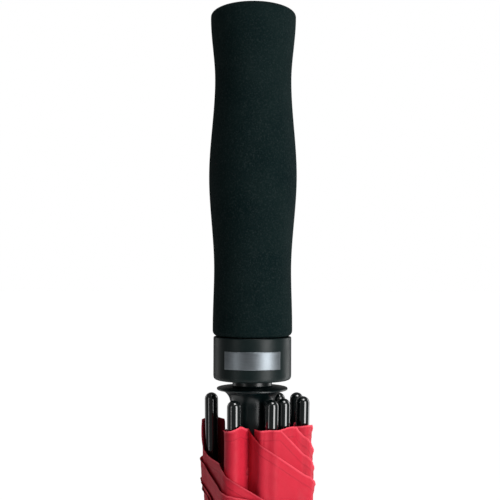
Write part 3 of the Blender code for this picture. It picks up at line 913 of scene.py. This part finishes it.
def wrap_flap(index, bundle, paths):
    """The points of one folded gore: its outer layer from its own rib to the fold,
    then its inner layer from the fold back to the next rib. Shape (rows, cols, 3)."""
    rows = row_heights()
    below = (HEM_Z - rows)[:, None]
    follower = (index + 1) % RIBS
    lengths = rows - CANOPY_LOW_Z
    slope = (lengths / lengths[0])[:, None]
    angle = paths[index]
    own = angle[:, 0]
    turns = np.floor((paths[follower][:, 0] - own) / TURN)
    behind_path = paths[follower] - (turns * TURN)[:, None]
    following = behind_path[:, 0]
    gap = np.array([np.interp(f, a, PATH_RUN) for f, a in zip(following, angle)])
    reach = half_width(lengths) + gap / 2.0
    shares = column_shares()
    outer_run = shares[None, :] * reach[:, None]
    inner_run = gap[:, None] + shares[None, ::-1] * (reach - gap)[:, None]
    layers = []
    for side, at in (("outer", outer_run), ("inner", inner_run[:, 1:])):
        bearing = np.array([np.interp(a, PATH_RUN, b) for a, b in zip(at, angle)])
        elapsed = (bearing - own[:, None]) / PITCH
        tight = tightness(index, elapsed)
        since, hem = at, index
        if side == "inner":
            behind = (bearing - following[:, None]) / PITCH
            fold = smoothstep((reach[:, None] - at) / (3.0 * MM))
            elapsed = elapsed + (behind - elapsed) * 0.5 * fold
            tight = tight + (tightness(follower, behind) - tight) * 0.88 * fold
            along = np.array([np.interp(b, p, PATH_RUN) for b, p in zip(bearing, behind_path)])
            since, hem = along, follower
        z = rows[:, None] - hem_drop(since, hem) * slope
        r = bundle.radius(z, bearing, np.clip(elapsed, 0.0, None), tight)
        r = r + 0.15 * MM * (1.0 - smoothstep((below - 4.2 * MM) / (0.8 * MM)))
        r = r + 0.55 * MM * np.exp(-((below / (0.7 * MM)) ** 2))
        if side == "outer":
            r = r + pucker(at, below)
        middle = axis_at(z)
        x = middle[..., 0] + r * np.cos(bearing)
        y = middle[..., 1] + r * np.sin(bearing)
        layers.append(np.stack((x, y, z), axis=2))
    points = np.concatenate(layers, axis=1)
    width = np.concatenate((outer_run, 2.0 * reach[:, None] - inner_run[:, 1:]), axis=1)
    return points, width, np.repeat(below, points.shape[1], axis=1)


def build_flap(index, bundle, paths, finish):
    """One folded gore."""
    points, width, depth = wrap_flap(index, bundle, paths)
    rows, cols = points.shape[:2]
    faces = grid_faces(rows, cols)
    name = f"canopy_flap_{index + 1}"
    flap = mesh_object(name, points.reshape(-1, 3), faces, finish, sharp_deg=80.0)
    lay_cloth(flap, width, depth)
    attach(flap, "shaft")
    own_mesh(flap)
    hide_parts(f"canopy_panel_{index + 1}", f"canopy_hem_{index + 1}")
    return points.reshape(-1, 3)


def strap_radius(points, z, angles):
    """The tight loop round the rolled cloth at a height, measured from its axis."""
    near = points[np.abs(points[:, 2] - z) < 7.0 * MM][:, :2] - axis_at(z)
    support = (near @ np.stack((np.cos(angles), np.sin(angles)))).max(axis=0)
    return tight_loop(support, angles)


def build_strap(points, finish, metal):
    """The closing strap: once round the cloth, with its end lapped over and snapped."""
    ring = np.arange(180) * (TURN / 180)
    low, high = STRAP_LOW.z, STRAP_HIGH.z
    heights = low + (high - low) * STRAP_ROWS
    turn = np.linspace(0.0, TURN + STRAP_LAP, 240)
    angle = STRAP_START + turn
    over = 1.3 * MM * smoothstep((turn - TURN + 0.15) / 0.15)
    grid = np.zeros((len(heights), len(turn), 3))
    length = 0.0
    for i, z in enumerate(heights):
        loop = strap_radius(points, z, ring)
        edge = min(z - low, high - z)
        bead = 0.25 * MM * math.exp(-((edge / (1.2 * MM)) ** 2))
        r = np.interp(angle, ring, loop, period=TURN) + 0.5 * MM + bead + over
        middle = axis_at(z)
        grid[i, :, 0] = middle[0] + r * np.cos(angle)
        grid[i, :, 1] = middle[1] + r * np.sin(angle)
        grid[i, :, 2] = z
        length = max(length, float(np.linalg.norm(np.diff(grid[i], axis=0), axis=1).sum()))
    faces = grid_faces(len(heights), len(turn))
    strap = mesh_object("closing_strap", grid.reshape(-1, 3), faces, finish, sharp_deg=80.0)
    along = np.tile(np.linspace(0.0, length, len(turn)), len(heights))
    lay_cloth(strap, along, np.repeat(np.minimum(heights - low, high - heights), len(turn)))
    solid = strap.modifiers.new("Solidify", "SOLIDIFY")
    solid.thickness = 0.7 * MM
    solid.offset = 0.0
    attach(strap, "canopy_hem_1")
    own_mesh(strap)
    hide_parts("tie_strap")
    at = Vector(grid[4:6, SNAP_COLUMN].mean(axis=0))
    out = Vector((at.x - axis_at(at.z)[0], at.y - axis_at(at.z)[1], 0.0))
    corners = [
        (1.7 * MM, 1.8 * MM, 0.0),
        (2.4 * MM, 1.3 * MM, 0.4 * MM),
        (5.2 * MM, 1.2 * MM, 0.6 * MM),
        (5.6 * MM, 0.0, 0.0),
    ]
    profile = [(0.0, 1.9 * MM), (1.6 * MM, 1.8 * MM)] + rounded(corners)
    snap = lathe("strap_snap", profile, metal, segments=64)
    turn_to(snap, at + out.normalized() * 0.3 * MM, out, Vector((0.0, 0.0, 1.0)))
    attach(snap, "canopy_hem_1")


# ---- open canopy

# The taut cloth of the open frame, built where it lies at rest. Each gore's open shape bends
# between its two ribs; at rest it folds up into a narrow strip between them, under the flaps.
GORE_LOW_Z = 92.0 * MM
GORE_TOP_Z = 800.0 * MM
GORE_OUT = 1.9 * MM
SCALLOP = 52.0 * MM
GORE_COLS = 25
# The outer piece goes this far under the inner one at their seam
SEAM_LAP = 6.0 * MM
HEM_ROWS = np.array((5.2, 4.6, 4.0, 2.0, 1.0, 0.5, 0.0)) * MM
RIB_STEP = np.array((0.0, 0.0, 1.0 * MM))
# How far the cloth sags towards the handle halfway between two ribs: at the crown, at
# the joints of the ribs and at the hem
GORE_SAG = np.array((2.0, 20.0, 22.0)) * MM


def open_bodies():
    """Each body's matrix with the runner at the end of its travel."""
    travel = JOINTS["runner_slide"]["range_m"][1]
    couplings = frame["record"]["behaviour"]["couplings"]
    ratio = {entry["joint"]: entry["ratio"] for entry in couplings}
    bodies = {"shaft": Matrix.Identity(4)}
    for joint in frame["joints"]:
        if joint["type"] != "hinge" or joint["name"] not in ratio:
            continue
        at = Matrix.Translation(joint["pos_m"])
        turn = Matrix.Rotation(ratio[joint["name"]] * travel, 4, Vector(joint["axis"]))
        bodies[joint["child"]] = bodies[joint["parent"]] @ at @ turn @ at.inverted()
    return bodies


def rib_side(index, z):
    """Points just outside a rib, at rest."""
    centre = rib_at(index, z)
    return centre + GORE_OUT * unit(centre * (1.0, 1.0, 0.0))


def moved(points, matrix):
    matrix = np.array(matrix)
    return points @ matrix[:3, :3].T + matrix[:3, 3]


def fold_back(target, first, second, start, end):
    """Where points must lie at rest to reach target when a blend between the bodies
    first and second, from start to end, has opened."""
    relative = first.inverted() @ second
    turn, angle = relative.to_quaternion().to_axis_angle()
    turn = np.array(turn)
    shift = np.array(relative.translation)
    along = (shift @ turn) * turn
    rotation = np.array(relative.to_3x3())
    pivot = np.linalg.lstsq(np.eye(3) - rotation, shift - along, rcond=None)[0]
    local = moved(target, first.inverted())
    span = end - start

    def rest(weight):
        p = local - weight[:, None] * along - pivot
        c = np.cos(-weight * angle)[:, None]
        s = np.sin(-weight * angle)[:, None]
        turned = p * c + np.cross(turn, p) * s + turn * (p @ turn)[:, None] * (1.0 - c)
        return pivot + turned

    low = np.zeros(len(target))
    high = np.ones(len(target))
    for _ in range(40):
        middle = (low + high) / 2.0
        reached = smoothstep((rest(middle) - start) @ span / (span @ span))
        low = np.where(reached > middle, middle, low)
        high = np.where(reached > middle, high, middle)
    return rest((low + high) / 2.0)


def sag_ways(number, following, bodies, joint_z):
    """Which way the open gore sags: at the crown, at its ribs' joints and at the hem."""
    heights = np.array((joint_z, joint_z + 0.1))
    facing = []
    for kind in ("rib_inner", "rib_outer"):
        left = moved(rib_side(number - 1, heights), bodies[f"{kind}_{number}"])
        right = moved(rib_side(following - 1, heights), bodies[f"{kind}_{following}"])
        along = left[1] + right[1] - left[0] - right[0]
        facing.append(unit(np.cross(along, right[0] - left[0])))
    return facing[0], unit(facing[0] + facing[1]), facing[1]


def turning(rows, low_z, high_z, low_way, high_way):
    """The direction at each row, where it turns evenly from low_way to high_way."""
    share = ((rows - low_z) / (high_z - low_z))[:, None]
    return unit(low_way + (high_way - low_way) * share)


def build_gore(index, bodies, finish):
    """One gore as two pieces: between the inner rib halves, and between the outer ones."""
    number, following = index + 1, (index + 1) % RIBS + 1
    joint_z = rib_line(index)[1].z
    inner = np.linspace(GORE_LOW_Z, joint_z, 18)
    outer = np.linspace(joint_z - SEAM_LAP, GORE_TOP_Z - 8.0 * MM, 20)
    outer = np.append(outer, GORE_TOP_Z - HEM_ROWS)
    share = np.linspace(0.0, 1.0, GORE_COLS)
    bow = 4.0 * share * (1.0 - share)
    crown_way, joint_way, hem_way = sag_ways(number, following, bodies, joint_z)
    inner_ways = turning(inner, GORE_LOW_Z, joint_z, crown_way, joint_way)
    outer_ways = turning(outer, joint_z, GORE_TOP_Z, joint_way, hem_way)
    for part, rows, ways, own, other in (
        ("inner", inner, inner_ways, f"rib_inner_{number}", f"canopy_panel_{number}"),
        ("outer", outer, outer_ways, f"rib_outer_{number}", f"canopy_hem_{number}"),
    ):
        next_own = own.replace(f"_{number}", f"_{following}")
        left = rib_side(index, rows)
        right = rib_side(following - 1, rows)
        a = moved(left, bodies[own])
        b = moved(right, bodies[next_own])
        target = a[:, None, :] + share[None, :, None] * (b - a)[:, None, :]
        down = moved(left - RIB_STEP, bodies[own]) + moved(right - RIB_STEP, bodies[next_own])
        down = unit(down - a - b)
        depth = SCALLOP * np.clip((rows - joint_z) / (GORE_TOP_Z - joint_z), 0.0, 1.0) ** 2
        target += (depth[:, None] * bow[None, :] ** 0.8)[:, :, None] * down[:, None, :]
        slack = np.interp(rows, (GORE_LOW_Z, joint_z, GORE_TOP_Z), GORE_SAG)
        target += (slack[:, None] * bow[None, :])[:, :, None] * ways[:, None, :]
        step = right.mean(axis=0) - left.mean(axis=0)
        step[2] = 0.0
        start = left[(left @ step).argmax()] + 0.02 * step
        end = right[(right @ step).argmin()] - 0.02 * step
        end = start + ((end - start) @ step) / (step @ step) * step
        points = fold_back(target.reshape(-1, 3), bodies[own], bodies[other], start, end)
        name = f"open_gore_{part}_{number}"
        faces = grid_faces(len(rows), GORE_COLS)
        gore = mesh_object(name, points, faces, finish, sharp_deg=80.0)
        width = np.linalg.norm(b - a, axis=1)[:, None] * share[None, :]
        lay_cloth(gore, width, np.repeat(GORE_TOP_Z - rows, GORE_COLS))
        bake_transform(gore)


# ---- camera, light, floor


def build_camera():
    camera = bpy.data.cameras.new("camera")
    camera.lens = CAMERA_LENS_MM
    camera.sensor_width = 36.0
    obj = bpy.data.objects.new("camera", camera)
    bpy.context.scene.collection.objects.link(obj)
    obj.location = CAMERA_AT
    aim = Matrix.Rotation(math.radians(90.0 + CAMERA_RISE_DEG), 4, "X")
    roll = Matrix.Rotation(math.radians(CAMERA_ROLL_DEG), 4, "Y")
    obj.rotation_euler = (roll @ aim).to_euler()
    bpy.context.scene.camera = obj


def build_softbox(name, azimuth_deg, distance, height, width, tall, watts):
    light = bpy.data.lights.new(name, "AREA")
    light.shape = "RECTANGLE"
    light.size = width
    light.size_y = tall
    light.energy = watts
    obj = bpy.data.objects.new(name, light)
    bpy.context.scene.collection.objects.link(obj)
    angle = math.radians(azimuth_deg)
    obj.location = (distance * math.sin(angle), -distance * math.cos(angle), height)
    target = Vector((0.0, 0.0, AIMED.get(name, height)))
    obj.rotation_euler = (target - obj.location).to_track_quat("-Z", "Y").to_euler()
    obj.visible_camera = False
    obj.visible_glossy = name not in UNREFLECTED


def build_world():
    """White to the camera, and a dim even light for the object."""
    world = bpy.data.worlds.new("studio")
    bpy.context.scene.world = world
    world.use_nodes = True
    nodes, links = world.node_tree.nodes, world.node_tree.links
    path = nodes.new("ShaderNodeLightPath")
    strength = nodes.new("ShaderNodeMapRange")
    strength.inputs["To Min"].default_value = 0.12
    strength.inputs["To Max"].default_value = 1.0
    links.new(path.outputs["Is Camera Ray"], strength.inputs["Value"])
    background = nodes["Background"]
    background.inputs["Color"].default_value = (1.0, 1.0, 1.0, 1.0)
    links.new(strength.outputs["Result"], background.inputs["Strength"])


def build_floor():
    """A pale floor that the ferrule stands on, and that fades out to white."""
    mesh = bpy.data.meshes.new("floor")
    side = 40.0
    corners = [(-side, -side, 0.0), (side, -side, 0.0), (side, side, 0.0), (-side, side, 0.0)]
    mesh.from_pydata(corners, [], [(0, 1, 2, 3)])
    floor = bpy.data.objects.new("floor", mesh)
    floor.location.z = -0.2 * MM
    bpy.context.scene.collection.objects.link(floor)
    paint = Paint("floor_paint", (0.9, 0.9, 0.9), 0.9)
    paint.set("Emission Color", (1.0, 1.0, 1.0, 1.0))
    path = paint.nodes.new("ShaderNodeLightPath")
    glow = paint.maths("MULTIPLY", path.outputs["Is Camera Ray"], 0.9)
    paint.links.new(glow, paint.shader.inputs["Emission Strength"])
    floor.data.materials.append(paint.material)


def main():
    bpy.context.scene.view_settings.view_transform = "Standard"
    build_camera()
    for name, settings in SOFTBOXES.items():
        build_softbox(name, *settings)
    build_world()
    build_floor()
    build_grip(foam())
    build_collar(satin_plastic("collar_plastic", (0.003, 0.008, 0.008), 0.38))
    build_label(brushed_metal())
    runner_black = (0.001, 0.0045, 0.005)
    build_runner(satin_plastic("runner_plastic", runner_black, 0.30, grain=0.2, specular=0.5))
    tips = gloss_plastic()
    for index in range(RIBS):
        build_tip(index, tips)
    bundle = Bundle()
    red = cloth("canopy_cloth", RED, RED_SHADE)
    paths = [trace_path(bundle, row_heights(), index) for index in range(RIBS)]
    points = [build_flap(index, bundle, paths, red) for index in range(RIBS)]
    bodies = open_bodies()
    for index in range(RIBS):
        build_gore(index, bodies, red)
    build_strap(np.concatenate(points), red, bare_steel())
    core_black = satin_plastic("moulded_black", (0.006, 0.008, 0.008), 0.42)
    build_end_plug(core_black)
    build_button(satin_plastic("button_grey", (0.05, 0.055, 0.058), 0.38))
    build_button_ring(core_black)
    build_ferrule(core_black)
    build_top_cap(core_black)
    steel = painted_steel("painted_steel", (0.012, 0.013, 0.014))
    build_shaft(steel)
    finish_nodes(core_black, "crown")
    finish_nodes(bare_steel(), "latch", "drive_spring")
    for index in range(1, RIBS + 1):
        finish_nodes(steel, f"rib_inner_{index}", f"rib_outer_{index}", f"stretcher_{index}")


main()
